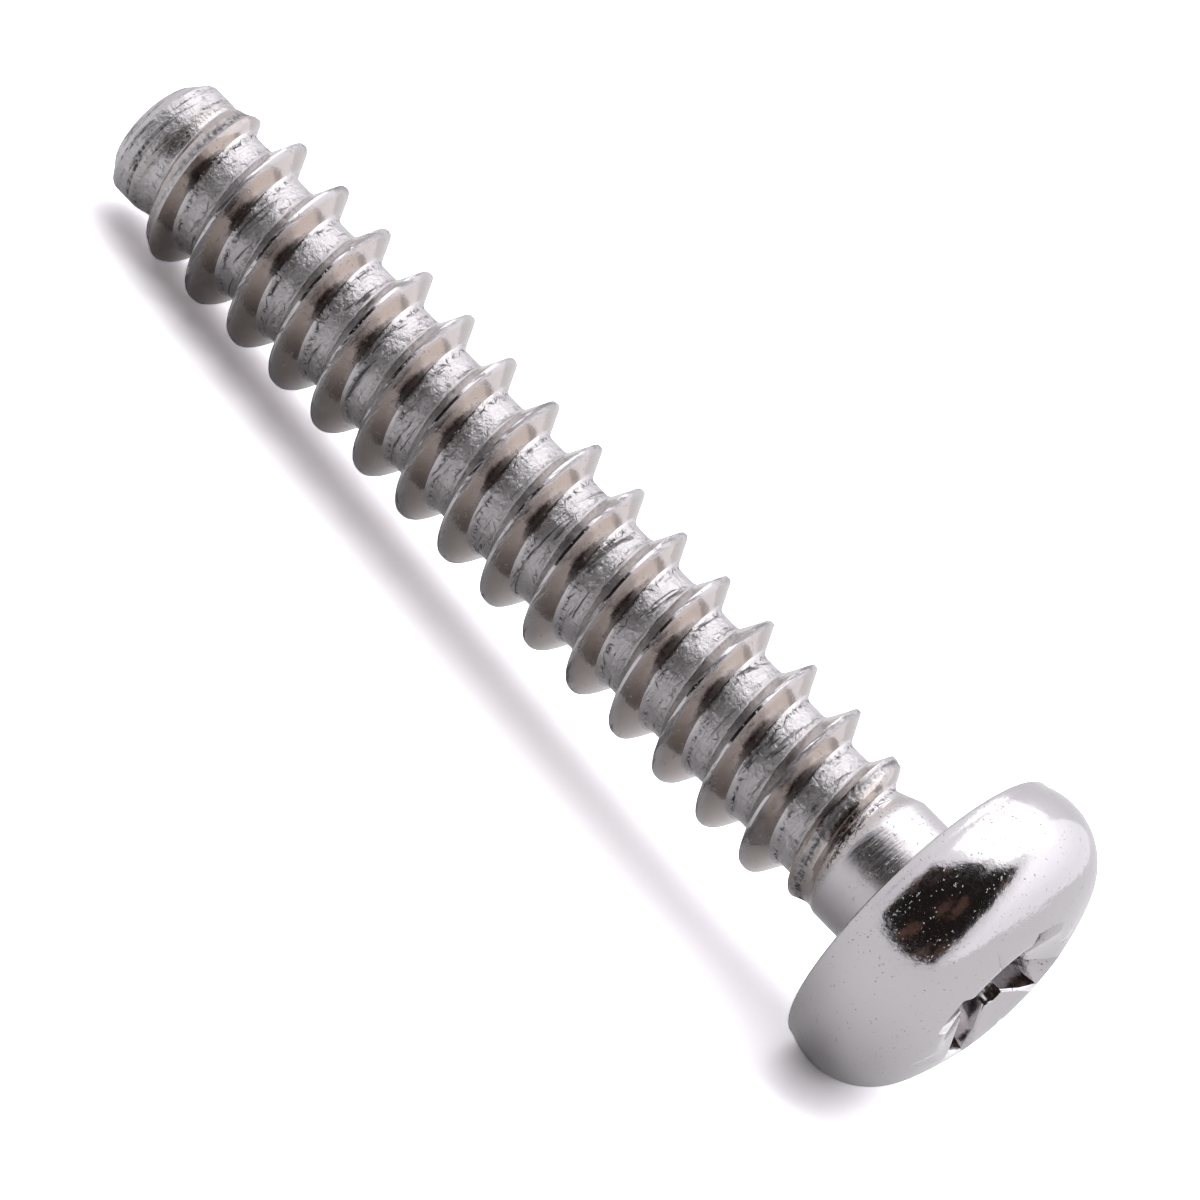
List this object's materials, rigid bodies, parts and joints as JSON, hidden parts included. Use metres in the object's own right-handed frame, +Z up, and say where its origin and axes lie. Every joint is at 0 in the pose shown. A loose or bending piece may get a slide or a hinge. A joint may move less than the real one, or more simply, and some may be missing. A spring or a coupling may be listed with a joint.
{
  "type": "pan head tapping screw",
  "caption": "Pan head self-tapping screw with a cross recess, coarse right-hand thread and blunt end, in bright stainless steel.",
  "frame": {"origin": "centre of the footprint, on the floor the screw lies on", "axes": "+X from the blunt end towards the head, with the screw's axis tilted up by 4.6 degrees; +Z up"},
  "size_m": [0.028, 0.008, 0.008],
  "materials": {
    "stainless_steel": "bright austenitic stainless steel, tumbled after rolling"
  },
  "bodies": {
    "root": {"pan_head_screw": "stainless_steel"}
  },
  "joints": []
}
